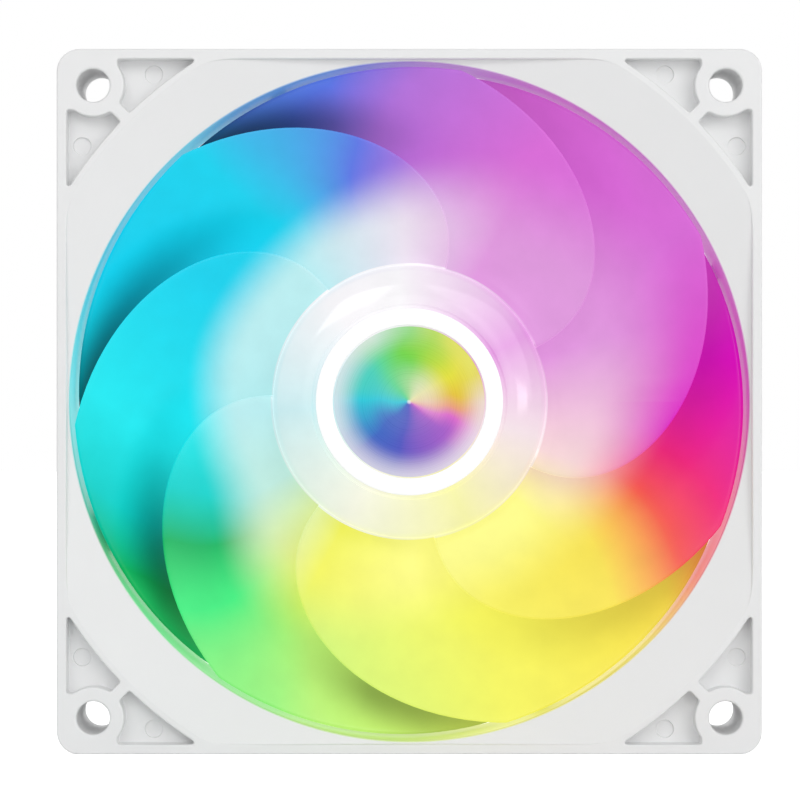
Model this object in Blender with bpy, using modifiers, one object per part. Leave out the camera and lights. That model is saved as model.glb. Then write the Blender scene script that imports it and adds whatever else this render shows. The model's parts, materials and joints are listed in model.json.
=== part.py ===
"""Slim square case fan: a white moulded frame with a sloped inlet ring and corner screw bosses, a lit
translucent impeller of seven swept blades, and the outer-rotor motor that turns it.

Every piece is drawn round the rotor's axis, with z = 0 on the rear mounting face and +z towards the front.
The empty "fan" then stands the assembly upright, with its front towards -Y and its centre on the origin.
Lengths are in metres and angles in degrees, counted counter-clockwise as seen from the front.
"""

import math

import bmesh
import bpy
from mathutils import Matrix

# Frame moulding
FRAME_SIDE = 0.092
FRAME_DEPTH = 0.015
FRAME_CORNER_RADIUS = 0.0029
SIDE_WALL = 0.0013
DUCT_WALL = 0.00165
HOLE_INSET = 0.00475
HOLE_DIAMETER = 0.0043
HOLE_LEAD_IN = 0.0003
BOSS_WALL = 0.0019
RIB_WIDTH = 0.0016
RING_WIDTH = 0.0081
RING_LAND = 0.0008
DISH_DEPTH = 0.0016
FRONT_POCKET_DEPTH = 0.003
POCKET_FLOOR = 0.0015
POCKET_FILLET = 0.0006
DUCT_SKIN = 0.0014
RING_WALL = 0.0012
RING_SKIN = 0.0014
CORE_STEP = 0.0003

# Struts, motor base and cable channel
STRUT_COUNT = 4
STRUT_WIDTH = 0.0022
STRUT_DEPTH = 0.0026
WIRE_STRUT_ANGLE = 203
WIRE_STRUT_WIDTH = 0.0056
WIRE_CHANNEL_WIDTH = 0.0034
WIRE_CHANNEL_DEPTH = 0.0016
WIRE_TAB_WIDTH = 0.0012
WIRE_TAB_THICKNESS = 0.0007
BASE_LIP = 0.0003
BASE_INSET = 0.0002
STRUT_INSET = 0.0004
BASE_FLOOR = 0.0014
BASE_RIM_WALL = 0.0011
BASE_RIM_ABOVE_BOARD = 0.0005
BASE_BOSS_WALL = 0.0012

# Circuit board and what is soldered to it
BOARD_LEDGE_HEIGHT = 0.0004
BOARD_LEDGE_WIDTH = 0.001
BOARD_THICKNESS = 0.001
LED_COUNT = 8
LED_SIDE = 0.0019
LED_EDGE_MARGIN = 0.000375
LED_HEIGHT = 0.0008
CHIP_SIDE = 0.0026
CHIP_HEIGHT = 0.001
SMALL_PART_LENGTH = 0.0016
SMALL_PART_WIDTH = 0.0009
SMALL_PART_HEIGHT = 0.0007
PIN_COUNT = 3
PIN_DIAMETER = 0.0007

# Bearing
SHAFT_DIAMETER = 0.003
SHAFT_RUNNING_GAP = 0.00005
BUSH_WALL = 0.0014
TUBE_WALL = 0.0008
CAP_RECESS = 0.0001
CAP_FLANGE = 0.0004
CAP_FLANGE_WIDTH = 0.0007
CAP_PLUG = 0.0004
PAD_THICKNESS = 0.0005
CLIP_THICKNESS = 0.0004
CLIP_WIDTH = 0.001
CLIP_GROOVE_DEPTH = 0.0003
SEAL_THICKNESS = 0.0004

# Motor
POLE_COUNT = 4
STATOR_DIAMETER = 0.0232
STATOR_RING_WALL = 0.0018
POLE_NECK_WIDTH = 0.0034
POLE_SHOE_THICKNESS = 0.0013
SLOT_OPENING = 0.002
INSULATOR_THICKNESS = 0.0006
INSULATOR_MARGIN = 0.0004
COIL_BUILD = 0.0008
COIL_SHOE_GAP = 0.0017
AIR_GAP = 0.0004
MAGNET_THICKNESS = 0.0015
YOKE_WALL = 0.0008

# Impeller
BLADE_COUNT = 7
HUB_DIAMETER = 0.0359
HUB_WALL = 0.0012
HUB_SETBACK = 0.0008
HUB_PLATE = 0.0014
HUB_SHOULDER_HEIGHT = 0.0022
HUB_RING_OUTER_DIAMETER = 0.0245
HUB_RING_WIDTH = 0.00225
HUB_RING_THICKNESS = 0.0007
HUB_DISC_THICKNESS = 0.0003
YOKE_COLLAR_WALL = 0.0008
YOKE_COLLAR_DEPTH = 0.005
INSERT_WALL = 0.0013
INSERT_GRIP = 0.001
TIP_CLEARANCE = 0.0007
BLADE_ROOT_THICKNESS = 0.0014
BLADE_EDGE_THICKNESS = 0.0008
BLADE_TIP_ANGLE = 184
BLADE_SWEEP = 58
BLADE_COVER = 1.0
BLADE_TIP_COVER = 0.97
BLADE_FRONT_SETBACK = 0.0022
BLADE_REAR_CLEARANCE = 0.0018

# Fits between pieces
SEAT_GAP = 0.00015
PRESS_GAP = 0.00005
RUNNING_CLEARANCE = 0.0004
OVERCUT = 0.002

# Facets of the round pieces
DUCT_STEPS = 72
HUB_STEPS = 48
MOTOR_STEPS = 36
SMALL_STEPS = 24
SPAN_STEPS = 9
CHORD_STEPS = 9

# Radii that follow from the sizes above
inner_half = FRAME_SIDE / 2 - SIDE_WALL
duct_radius = FRAME_SIDE / 2 - DUCT_WALL
hole_at = FRAME_SIDE / 2 - HOLE_INSET
boss_radius = HOLE_DIAMETER / 2 + BOSS_WALL
pocket_radius = duct_radius + RING_WIDTH
dish_radius = pocket_radius - RING_LAND
rear_pocket_radius = duct_radius + DUCT_SKIN
ring_core_radius = pocket_radius - RING_WALL
hub_radius = HUB_DIAMETER / 2
base_radius = hub_radius + BASE_LIP
base_inner_radius = base_radius - BASE_RIM_WALL
shaft_radius = SHAFT_DIAMETER / 2
bush_inner_radius = shaft_radius + SHAFT_RUNNING_GAP
bush_radius = bush_inner_radius + BUSH_WALL
tube_inner_radius = bush_radius + PRESS_GAP
tube_radius = tube_inner_radius + TUBE_WALL
base_boss_radius = tube_radius + PRESS_GAP + BASE_BOSS_WALL
board_inner_radius = base_boss_radius + SEAT_GAP
board_radius = base_inner_radius - SEAT_GAP
stator_radius = STATOR_DIAMETER / 2
stator_ring_radius = tube_radius + PRESS_GAP + STATOR_RING_WALL
shoe_inner_radius = stator_radius - POLE_SHOE_THICKNESS
magnet_inner_radius = stator_radius + AIR_GAP
magnet_radius = magnet_inner_radius + MAGNET_THICKNESS
yoke_inner_radius = magnet_radius + PRESS_GAP
yoke_radius = yoke_inner_radius + YOKE_WALL
collar_inner_radius = yoke_radius + PRESS_GAP
collar_radius = collar_inner_radius + YOKE_COLLAR_WALL
insert_radius = shaft_radius + PRESS_GAP + INSERT_WALL
ring_outer_radius = HUB_RING_OUTER_DIAMETER / 2
ring_inner_radius = ring_outer_radius - HUB_RING_WIDTH
blade_root_radius = hub_radius - HUB_WALL / 2
blade_tip_radius = duct_radius - TIP_CLEARANCE
led_at = board_radius - LED_EDGE_MARGIN - LED_SIDE / 2

# Heights that follow, stacked from the rear face
pocket_floor_front = FRAME_DEPTH - FRONT_POCKET_DEPTH
pocket_floor_rear = pocket_floor_front - POCKET_FLOOR
ring_core_top = FRAME_DEPTH - DISH_DEPTH - RING_SKIN
board_bottom = BASE_FLOOR + BOARD_LEDGE_HEIGHT + SEAT_GAP
board_top = board_bottom + BOARD_THICKNESS
soldered_at = board_top + SEAT_GAP / 2
tallest_part = max(LED_HEIGHT, CHIP_HEIGHT, SMALL_PART_HEIGHT)
base_rim_top = board_top + BASE_RIM_ABOVE_BOARD
rotor_rear = max(soldered_at + tallest_part, base_rim_top) + RUNNING_CLEARANCE
cap_rear = BASE_INSET + CAP_RECESS
cap_front = cap_rear + CAP_FLANGE
tube_rear = cap_front + SEAT_GAP
cap_plug_top = cap_front + SEAT_GAP + CAP_PLUG
pad_bottom = cap_plug_top + SEAT_GAP
pad_top = pad_bottom + PAD_THICKNESS
shaft_rear = pad_top + SEAT_GAP
clip_bottom = shaft_rear + CLIP_THICKNESS
clip_top = clip_bottom + CLIP_THICKNESS
bush_bottom = clip_top + RUNNING_CLEARANCE
base_boss_top = board_top + SEAT_GAP
coil_bottom = base_boss_top + SEAT_GAP

# Heights that follow, stacked back from the front face
hub_front = FRAME_DEPTH - HUB_SETBACK
hub_land = hub_front - HUB_RING_THICKNESS - SEAT_GAP
plate_bottom = hub_land - HUB_PLATE
yoke_top = plate_bottom - SEAT_GAP
yoke_plate_bottom = yoke_top - YOKE_WALL
tube_top = yoke_plate_bottom - RUNNING_CLEARANCE
coil_top = tube_top - RUNNING_CLEARANCE
seal_top = tube_top - PRESS_GAP
seal_bottom = seal_top - SEAL_THICKNESS
bush_top = seal_bottom - SEAT_GAP
insert_bottom = yoke_plate_bottom - INSERT_GRIP / 4
insert_top = plate_bottom + INSERT_GRIP
shoulder_bottom = hub_land - HUB_SHOULDER_HEIGHT

# The stator fills what is left between the board and the yoke
rear_insulator_bottom = coil_bottom + COIL_BUILD + SEAT_GAP
core_bottom = rear_insulator_bottom + INSULATOR_THICKNESS + SEAT_GAP
front_insulator_top = coil_top - COIL_BUILD - SEAT_GAP
core_top = front_insulator_top - INSULATOR_THICKNESS - SEAT_GAP
coil_inner_at = stator_ring_radius + INSULATOR_MARGIN + SEAT_GAP
coil_inner_half = POLE_NECK_WIDTH / 2 + INSULATOR_MARGIN + SEAT_GAP
coil_length = shoe_inner_radius - COIL_SHOE_GAP - coil_inner_at

# Blade edges, from root to tip
leading_root = shoulder_bottom - BLADE_ROOT_THICKNESS * 0.55
leading_tip = FRAME_DEPTH - BLADE_FRONT_SETBACK
trailing_root = rotor_rear + BLADE_ROOT_THICKNESS * 0.8
trailing_tip = STRUT_DEPTH + BLADE_REAR_CLEARANCE


for old in list(bpy.data.objects):
    bpy.data.objects.remove(old)

parts = bpy.data.collections.new("case_fan")
cutters = bpy.data.collections.new("case_fan_cutters")
bpy.context.scene.collection.children.link(parts)
bpy.context.scene.collection.children.link(cutters)


def plain_material(name, colour, roughness, metallic=0.0):
    """A Principled material with one colour."""
    made = bpy.data.materials.new(name)
    made.use_nodes = True
    shader = made.node_tree.nodes["Principled BSDF"]
    shader.inputs["Base Color"].default_value = (*colour, 1)
    shader.inputs["Roughness"].default_value = roughness
    shader.inputs["Metallic"].default_value = metallic
    return made


white_plastic = plain_material("white_plastic", (0.83, 0.83, 0.84), 0.5)
frosted_plastic = plain_material("frosted_plastic", (0.86, 0.9, 0.95), 0.3)
gloss_white = plain_material("gloss_white", (0.92, 0.92, 0.92), 0.2)
rainbow_foil = plain_material("rainbow_foil", (0.45, 0.75, 0.8), 0.15, 0.8)
steel = plain_material("steel", (0.55, 0.56, 0.58), 0.35, 1.0)
brass = plain_material("brass", (0.72, 0.55, 0.28), 0.35, 1.0)
bronze = plain_material("bronze", (0.45, 0.28, 0.16), 0.6, 1.0)
ferrite = plain_material("ferrite", (0.06, 0.06, 0.065), 0.7)
copper = plain_material("copper", (0.65, 0.27, 0.12), 0.35, 1.0)
nylon = plain_material("nylon", (0.75, 0.75, 0.72), 0.5)
black_plastic = plain_material("black_plastic", (0.03, 0.03, 0.03), 0.45)
board_green = plain_material("board_green", (0.03, 0.2, 0.09), 0.4)
ceramic = plain_material("ceramic", (0.5, 0.4, 0.28), 0.5)
led_white = plain_material("led_white", (0.9, 0.9, 0.82), 0.3)


def empty(name, parent, location=(0, 0, 0), turn=0):
    """An axis that pieces hang on, turned about x."""
    made = bpy.data.objects.new(name, None)
    parts.objects.link(made)
    made.parent = parent
    made.location = location
    made.rotation_euler = (math.radians(turn), 0, 0)
    return made


fan = empty("fan", None, (0, FRAME_DEPTH / 2, 0), 90)
rotor_axis = empty("rotor_axis", fan)


def place(name, mesh, material=None, parent=None):
    """Adds a mesh as a part when it has a material, or else as a hidden cutter."""
    made = bpy.data.objects.new(name, mesh)
    made.parent = parent or fan
    if material:
        mesh.materials.append(material)
        parts.objects.link(made)
    else:
        made.hide_render = True
        made.display_type = "WIRE"
        cutters.objects.link(made)
    return made


def mesh_of(name, shape):
    """Turns a bmesh into a smooth-shaded mesh with sharp corners."""
    mesh = bpy.data.meshes.new(name)
    shape.to_mesh(mesh)
    shape.free()
    mesh.shade_smooth()
    mesh.set_sharp_from_angle(angle=math.radians(35))
    return mesh


def turned(name, profile, steps, material=None, parent=None):
    """Turns (radius, height) points about z; they run down the outer side, and close unless one is on z."""
    mesh = bpy.data.meshes.new(name)
    count = len(profile)
    closed = min(radius for radius, _ in profile) > 0
    edges = [(i, (i + 1) % count) for i in range(count if closed else count - 1)]
    mesh.from_pydata([(radius, 0, height) for radius, height in profile], edges, [])
    made = place(name, mesh, material, parent)
    screw = made.modifiers.new("Turn", "SCREW")
    screw.steps = steps
    screw.render_steps = steps
    screw.use_merge_vertices = True
    screw.merge_threshold = 0.000001
    return made


def washer(name, inner, outer, low, high, steps, material=None, parent=None):
    """A plain turned ring."""
    profile = [(inner, high), (outer, high), (outer, low), (inner, low)]
    return turned(name, profile, steps, material, parent)


def add_cylinder(shape, radius, low, high, steps, at=(0, 0), top_radius=None):
    """Adds an upright cylinder or cone to a bmesh."""
    bmesh.ops.create_cone(
        shape,
        cap_ends=True,
        segments=steps,
        radius1=radius,
        radius2=radius if top_radius is None else top_radius,
        depth=high - low,
        matrix=Matrix.Translation((*at, (low + high) / 2)),
    )


def add_block(shape, length, width, low, high, at=0, turn=0, across=0):
    """Adds a block whose middle lies at a distance out from the axis, in the direction of the turn."""
    move = Matrix.Translation((at, across, (low + high) / 2))
    size = Matrix.Diagonal((length, width, high - low, 1))
    bmesh.ops.create_cube(shape, size=1, matrix=Matrix.Rotation(math.radians(turn), 4, "Z") @ move @ size)


def cylinder(name, radius, low, high, steps, at=(0, 0), top_radius=None, material=None, parent=None):
    """One upright cylinder or cone."""
    shape = bmesh.new()
    add_cylinder(shape, radius, low, high, steps, at, top_radius)
    return place(name, mesh_of(name, shape), material, parent)


def block(name, length, width, low, high, at=0, turn=0, material=None, across=0):
    """One block."""
    shape = bmesh.new()
    add_block(shape, length, width, low, high, at, turn, across)
    return place(name, mesh_of(name, shape), material)


def boolean(piece, other, operation):
    """Cuts, joins or trims one piece with another."""
    modifier = piece.modifiers.new(f"{operation.title()} {other.name}", "BOOLEAN")
    modifier.operation = operation
    modifier.object = other
    modifier.solver = "EXACT"


def soften(piece, width, segments=2, angle=40):
    """Rounds the sharp edges of a piece."""
    bevel = piece.modifiers.new("Soften", "BEVEL")
    bevel.width = width
    bevel.segments = segments
    bevel.limit_method = "ANGLE"
    bevel.angle_limit = math.radians(angle)
    return piece


# Frame: the block, then what is hollowed out of it
shape = bmesh.new()
add_block(shape, FRAME_SIDE, FRAME_SIDE, 0, FRAME_DEPTH)
uprights = [edge for edge in shape.edges if abs(edge.verts[0].co.z - edge.verts[1].co.z) > FRAME_DEPTH / 2]
bmesh.ops.bevel(
    shape, geom=uprights, offset=FRAME_CORNER_RADIUS, segments=6, profile=0.5, affect="EDGES"
)
frame = place("frame", mesh_of("frame", shape), white_plastic)

corners = [(x, y) for x in (-hole_at, hole_at) for y in (-hole_at, hole_at)]


kept_low, kept_high = -3 * OVERCUT, FRAME_DEPTH + 3 * OVERCUT
shape = bmesh.new()
for place_at in corners:
    add_cylinder(shape, boss_radius, kept_low, kept_high, 32, place_at)
bosses = place("bosses", mesh_of("bosses", shape))
shape = bmesh.new()
for index in range(4):
    reach = HOLE_INSET * math.sqrt(2)
    add_block(shape, reach * 2, boss_radius * 2, kept_low, kept_high, hole_at * math.sqrt(2) + reach,
              45 + index * 90)
solid_corners = place("solid_corners", mesh_of("solid_corners", shape))


def corner_hollows(name, inner, low, high, outer=None, step=0):
    """The hollows inside the side walls, outside the inner radius and clear of the bosses and ribs."""
    side = 2 * (inner_half - step)
    hollow = block(name, side, side, low, high)
    boolean(hollow, cylinder(f"{name}_core", inner, low - OVERCUT, high + OVERCUT, DUCT_STEPS), "DIFFERENCE")
    if outer:
        boolean(hollow, cylinder(f"{name}_rim", outer, low - OVERCUT, high + OVERCUT, DUCT_STEPS), "INTERSECT")
    ribs = [
        block(f"{name}_rib_{turn}", FRAME_SIDE * 2, RIB_WIDTH + 2 * step, kept_low, kept_high, turn=turn)
        for turn in (45, 135)
    ]
    for kept in (bosses, solid_corners, *ribs):
        boolean(hollow, kept, "DIFFERENCE")
    return soften(hollow, POCKET_FILLET)


front_pockets = corner_hollows("front_pockets", pocket_radius, pocket_floor_front, FRAME_DEPTH + OVERCUT)
rear_pockets = corner_hollows("rear_pockets", rear_pocket_radius, -OVERCUT, pocket_floor_rear)
ring_cores = corner_hollows("ring_cores", rear_pocket_radius + CORE_STEP, -OVERCUT * 1.5, ring_core_top,
                            ring_core_radius, CORE_STEP)

slope = (dish_radius - duct_radius) / DISH_DEPTH
dish = cylinder(
    "dish",
    duct_radius - slope * DISH_DEPTH / 2,
    FRAME_DEPTH - DISH_DEPTH * 1.5,
    FRAME_DEPTH + DISH_DEPTH / 2,
    DUCT_STEPS,
    top_radius=dish_radius + slope * DISH_DEPTH / 2,
)
dish_square = block("dish_square", inner_half * 2, inner_half * 2, 0, FRAME_DEPTH + OVERCUT)
boolean(dish, dish_square, "INTERSECT")
duct = cylinder("duct", duct_radius, -OVERCUT, FRAME_DEPTH + OVERCUT, DUCT_STEPS)

shape = bmesh.new()
for place_at in corners:
    add_cylinder(shape, HOLE_DIAMETER / 2, -OVERCUT, FRAME_DEPTH + OVERCUT, 32, place_at)
holes = place("holes", mesh_of("holes", shape))
shape = bmesh.new()
for place_at in corners:
    wide = HOLE_DIAMETER / 2 + HOLE_LEAD_IN
    add_cylinder(shape, wide - HOLE_LEAD_IN * 2, FRAME_DEPTH - HOLE_LEAD_IN * 2, FRAME_DEPTH + HOLE_LEAD_IN,
                 32, place_at, wide + HOLE_LEAD_IN)
lead_ins = place("lead_ins", mesh_of("lead_ins", shape))

for cutter in (duct, dish, front_pockets, rear_pockets, ring_cores, holes, lead_ins):
    boolean(frame, cutter, "DIFFERENCE")

# Frame: the rear struts and the motor base that they carry
strut_start = base_radius - BASE_RIM_WALL / 2
strut_end = duct_radius + DUCT_SKIN / 2
for index in range(STRUT_COUNT):
    width = STRUT_WIDTH if index else WIRE_STRUT_WIDTH
    strut = block(f"strut_{index + 1}", strut_end - strut_start, width, STRUT_INSET, STRUT_DEPTH,
                  (strut_start + strut_end) / 2, WIRE_STRUT_ANGLE + index * 360 / STRUT_COUNT)
    boolean(frame, strut, "UNION")

hole_radius = tube_radius + PRESS_GAP
cap_hole_radius = tube_radius + CAP_FLANGE_WIDTH + SEAT_GAP
ledge_radius = base_inner_radius - BOARD_LEDGE_WIDTH
base = turned(
    "base",
    [
        (hole_radius, base_boss_top),
        (base_boss_radius, base_boss_top),
        (base_boss_radius, BASE_FLOOR),
        (ledge_radius, BASE_FLOOR),
        (ledge_radius, BASE_FLOOR + BOARD_LEDGE_HEIGHT),
        (base_inner_radius, BASE_FLOOR + BOARD_LEDGE_HEIGHT),
        (base_inner_radius, base_rim_top),
        (base_radius, base_rim_top),
        (base_radius, BASE_INSET),
        (cap_hole_radius, BASE_INSET),
        (cap_hole_radius, cap_front + SEAT_GAP / 2),
        (hole_radius, cap_front + SEAT_GAP / 2),
    ],
    HUB_STEPS,
)
boolean(frame, base, "UNION")

channel_start = base_radius - BASE_RIM_WALL - WIRE_CHANNEL_WIDTH * 0.8
channel = block("channel", FRAME_SIDE - channel_start, WIRE_CHANNEL_WIDTH, -OVERCUT, WIRE_CHANNEL_DEPTH,
                (FRAME_SIDE + channel_start) / 2, WIRE_STRUT_ANGLE)
boolean(frame, channel, "DIFFERENCE")
for index in range(3):
    tab_at = base_radius + (duct_radius - base_radius) * (index + 1) / 4
    tab = block(f"wire_tab_{index + 1}", WIRE_TAB_WIDTH, (WIRE_CHANNEL_WIDTH + WIRE_STRUT_WIDTH) / 2,
                2 * STRUT_INSET, 2 * STRUT_INSET + WIRE_TAB_THICKNESS, tab_at, WIRE_STRUT_ANGLE)
    boolean(frame, tab, "UNION")

# Bearing: tube, bush, seal, thrust pad and end cap
tube_collar_top = rear_insulator_bottom - SEAT_GAP
turned(
    "bearing_tube",
    [
        (tube_inner_radius, tube_top),
        (tube_radius, tube_top),
        (tube_radius, tube_collar_top),
        (base_boss_radius, tube_collar_top),
        (base_boss_radius, base_boss_top + SEAT_GAP),
        (tube_radius, base_boss_top + SEAT_GAP),
        (tube_radius, tube_rear),
        (tube_inner_radius, tube_rear),
    ],
    MOTOR_STEPS,
    brass,
)
washer("bearing_bush", bush_inner_radius, bush_radius, bush_bottom, bush_top, MOTOR_STEPS, bronze)
washer("oil_seal", bush_inner_radius + PRESS_GAP, bush_radius, seal_bottom, seal_top, MOTOR_STEPS, nylon)
cylinder("thrust_pad", bush_radius, pad_bottom, pad_top, SMALL_STEPS, material=nylon)
turned(
    "end_cap",
    [
        (0, cap_plug_top),
        (bush_radius, cap_plug_top),
        (bush_radius, cap_front),
        (tube_radius + CAP_FLANGE_WIDTH, cap_front),
        (tube_radius + CAP_FLANGE_WIDTH, cap_rear),
        (0, cap_rear),
    ],
    SMALL_STEPS,
    white_plastic,
)

# Stator: the core, its two insulators and one coil on each pole
def stator_plate(name, low, high, ring, neck, outer, shoe, material):
    """A ring with four necks, each ending in a shoe, between two heights."""
    plate = cylinder(name, outer, low, high, MOTOR_STEPS, material=material)
    windows = cylinder(f"{name}_windows", shoe, low - OVERCUT, high + OVERCUT, MOTOR_STEPS)
    keep = cylinder(f"{name}_ring", ring, low - 2 * OVERCUT, high + 2 * OVERCUT, MOTOR_STEPS)
    boolean(windows, keep, "DIFFERENCE")
    for index in range(POLE_COUNT // 2):
        arm = block(f"{name}_arm_{index + 1}", outer * 4, neck, low - 2 * OVERCUT, high + 2 * OVERCUT,
                    turn=index * 360 / POLE_COUNT)
        boolean(windows, arm, "DIFFERENCE")
    boolean(plate, windows, "DIFFERENCE")
    for index in range(POLE_COUNT):
        slot = block(f"{name}_slot_{index + 1}", outer, SLOT_OPENING, low - OVERCUT, high + OVERCUT,
                     shoe + outer * 0.4, (index + 0.5) * 360 / POLE_COUNT)
        boolean(plate, slot, "DIFFERENCE")
    bore = cylinder(f"{name}_bore", tube_radius + PRESS_GAP, low - OVERCUT, high + OVERCUT, MOTOR_STEPS)
    boolean(plate, bore, "DIFFERENCE")


stator_plate("stator_core", core_bottom, core_top, stator_ring_radius, POLE_NECK_WIDTH, stator_radius,
             shoe_inner_radius, steel)
insulator_sizes = (
    stator_ring_radius + INSULATOR_MARGIN,
    POLE_NECK_WIDTH + 2 * INSULATOR_MARGIN,
    stator_radius - INSULATOR_MARGIN,
    shoe_inner_radius - INSULATOR_MARGIN,
)
stator_plate("insulator_rear", rear_insulator_bottom, core_bottom - SEAT_GAP, *insulator_sizes, nylon)
stator_plate("insulator_front", core_top + SEAT_GAP, front_insulator_top, *insulator_sizes, nylon)

coil_width = 2 * (coil_inner_half + COIL_BUILD)
for index in range(POLE_COUNT):
    coil = block(f"coil_{index + 1}", coil_length, coil_width, coil_bottom, coil_top,
                 coil_inner_at + coil_length / 2, index * 360 / POLE_COUNT, copper)
    soften(coil, COIL_BUILD * 0.45)
    window = block(f"coil_{index + 1}_window", coil_length + OVERCUT, coil_inner_half * 2,
                   coil_bottom + COIL_BUILD, coil_top - COIL_BUILD, coil_inner_at + coil_length / 2,
                   index * 360 / POLE_COUNT)
    boolean(coil, window, "DIFFERENCE")

# Circuit board: the board, its parts and the pins that carry the coil ends
board = washer("circuit_board", board_inner_radius, board_radius, board_bottom, board_top, HUB_STEPS, board_green)
wire_slot = block("wire_slot", WIRE_CHANNEL_WIDTH, WIRE_CHANNEL_WIDTH, board_bottom - OVERCUT,
                  board_top + OVERCUT, board_radius, WIRE_STRUT_ANGLE)
boolean(board, wire_slot, "DIFFERENCE")

pin_at = max(board_inner_radius + PIN_DIAMETER / 2 + SEAT_GAP, stator_ring_radius)
for index in range(PIN_COUNT):
    angle = math.radians((index + 0.5) * 360 / POLE_COUNT)
    cylinder(f"terminal_pin_{index + 1}", PIN_DIAMETER / 2, soldered_at, rear_insulator_bottom - SEAT_GAP, 12,
             (pin_at * math.cos(angle), pin_at * math.sin(angle)), material=steel)

part_at = coil_inner_at + coil_length + COIL_BUILD
block("driver_chip", CHIP_SIDE, CHIP_SIDE, soldered_at, soldered_at + CHIP_HEIGHT, part_at, 45, black_plastic)
for name, angle, material in (
    ("capacitor", 135, ceramic), ("diode", 225, black_plastic), ("resistor", 315, ceramic)
):
    block(name, SMALL_PART_WIDTH, SMALL_PART_LENGTH, soldered_at, soldered_at + SMALL_PART_HEIGHT, part_at,
          angle, material)
for index in range(LED_COUNT):
    angle = WIRE_STRUT_ANGLE + (index + 0.5) * 360 / LED_COUNT
    block(f"led_{index + 1}", LED_SIDE, LED_SIDE, soldered_at, soldered_at + LED_HEIGHT, led_at, angle, led_white)

# Rotor: shaft, clip, insert, yoke and magnet
groove_radius = shaft_radius - CLIP_GROOVE_DEPTH
turned(
    "shaft",
    [
        (0, insert_top),
        (shaft_radius, insert_top),
        (shaft_radius, clip_top + SEAT_GAP / 2),
        (groove_radius, clip_top + SEAT_GAP / 2),
        (groove_radius, clip_bottom - SEAT_GAP / 2),
        (shaft_radius, clip_bottom - SEAT_GAP / 2),
        (shaft_radius, shaft_rear + CLIP_GROOVE_DEPTH),
        (shaft_radius - CLIP_GROOVE_DEPTH, shaft_rear),
        (0, shaft_rear),
    ],
    SMALL_STEPS,
    steel,
    rotor_axis,
)
clip_radius = groove_radius + PRESS_GAP + CLIP_WIDTH
clip = washer("retaining_clip", groove_radius + PRESS_GAP, clip_radius, clip_bottom, clip_top, SMALL_STEPS,
              steel, rotor_axis)
clip_gap = block("clip_gap", clip_radius * 2, groove_radius, clip_bottom - OVERCUT, clip_top + OVERCUT,
                 clip_radius * 1.2)
boolean(clip, clip_gap, "DIFFERENCE")
turned(
    "shaft_insert",
    [
        (shaft_radius + PRESS_GAP, insert_top),
        (insert_radius, insert_top),
        (insert_radius, insert_bottom),
        (shaft_radius + PRESS_GAP, insert_bottom),
    ],
    SMALL_STEPS,
    brass,
    rotor_axis,
)
turned(
    "yoke",
    [
        (insert_radius + PRESS_GAP, yoke_top),
        (yoke_radius, yoke_top),
        (yoke_radius, rotor_rear),
        (yoke_inner_radius, rotor_rear),
        (yoke_inner_radius, yoke_plate_bottom),
        (insert_radius + PRESS_GAP, yoke_plate_bottom),
    ],
    MOTOR_STEPS,
    steel,
    rotor_axis,
)
washer("magnet", magnet_inner_radius, magnet_radius, rotor_rear + SEAT_GAP, yoke_plate_bottom - SEAT_GAP,
       MOTOR_STEPS, ferrite, rotor_axis)

# Rotor: the hub shell with its rounded shoulder and the collar that grips the yoke
shoulder = [
    (
        ring_outer_radius + (hub_radius - ring_outer_radius) * math.sin(math.radians(angle)),
        shoulder_bottom + HUB_SHOULDER_HEIGHT * math.cos(math.radians(angle)),
    )
    for angle in range(15, 91, 15)
]
collar_bottom = max(plate_bottom - YOKE_COLLAR_DEPTH, rotor_rear)
light_gap_top = shoulder_bottom - HUB_WALL / 2
impeller = turned(
    "impeller",
    [
        (0, hub_land),
        (ring_outer_radius + PRESS_GAP, hub_land),
        *shoulder,
        (hub_radius, rotor_rear),
        (hub_radius - HUB_WALL, rotor_rear),
        (hub_radius - HUB_WALL, light_gap_top),
        (collar_radius, light_gap_top),
        (collar_radius, collar_bottom),
        (collar_inner_radius, collar_bottom),
        (collar_inner_radius, plate_bottom),
        (insert_radius + PRESS_GAP, plate_bottom),
        (insert_radius + PRESS_GAP, insert_top + SEAT_GAP),
        (0, insert_top + SEAT_GAP),
    ],
    HUB_STEPS,
    frosted_plastic,
    rotor_axis,
)


def eased(share):
    """A share from 0 to 1 that starts and ends level."""
    share = min(max(share, 0), 1)
    return share * share * (3 - 2 * share)


def blade_point(span, chord, turn):
    """A point on the middle surface of a blade: span runs from root to tip, chord from front to rear edge."""
    radius = blade_root_radius + (blade_tip_radius - blade_root_radius) * span
    cover = BLADE_COVER + (BLADE_TIP_COVER - BLADE_COVER) * eased((span - 0.65) / 0.35)
    angle = BLADE_TIP_ANGLE - BLADE_SWEEP * (1 - span * span) + chord * cover * 360 / BLADE_COUNT + turn
    front = leading_root + (leading_tip - leading_root) * eased(span / 0.6)
    rear = trailing_root + (trailing_tip - trailing_root) * span
    height = front + (rear - front) * (0.6 * chord + 0.4 * chord * chord)
    return radius * math.cos(math.radians(angle)), radius * math.sin(math.radians(angle)), height


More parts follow.
